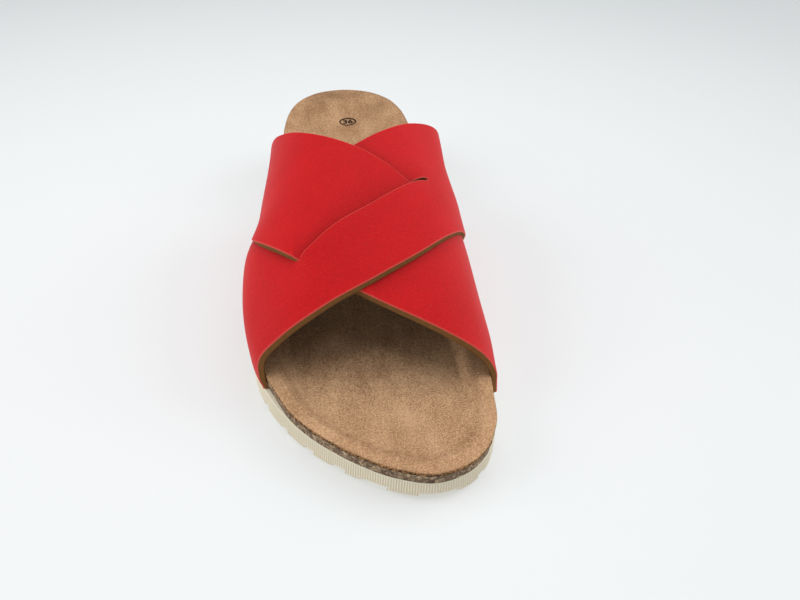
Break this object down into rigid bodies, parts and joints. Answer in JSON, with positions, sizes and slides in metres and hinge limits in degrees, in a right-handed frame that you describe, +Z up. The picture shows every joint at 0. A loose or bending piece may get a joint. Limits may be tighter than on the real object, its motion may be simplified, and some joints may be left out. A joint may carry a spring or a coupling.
{
  "type": "slide sandal with two crossed straps",
  "caption": "Right-foot slide sandal: contoured cork footbed with tan suede, beige foam rubber sole, wide red leather straps that cross over the instep, one through a slit in the other.",
  "frame": {"origin": "middle of the footprint, on the ground under the sole", "axes": "+Z up from the ground, +Y from toe to heel, +X towards the big toe side"},
  "size_m": [0.091, 0.2399, 0.0655],
  "materials": {
    "red_leather": "smooth grain with a low sheen, brown cut edges and lining",
    "tan_suede": "matt napped suede, darkened by wear",
    "cork": "sealed granulated cork with dark and pale grains",
    "foam_rubber": "matt beige foam with a finely ribbed side"
  },
  "bodies": {
    "root": {"outsole": "foam_rubber", "footbed": "cork", "insole": "tan_suede", "upper": "red_leather"}
  },
  "joints": []
}
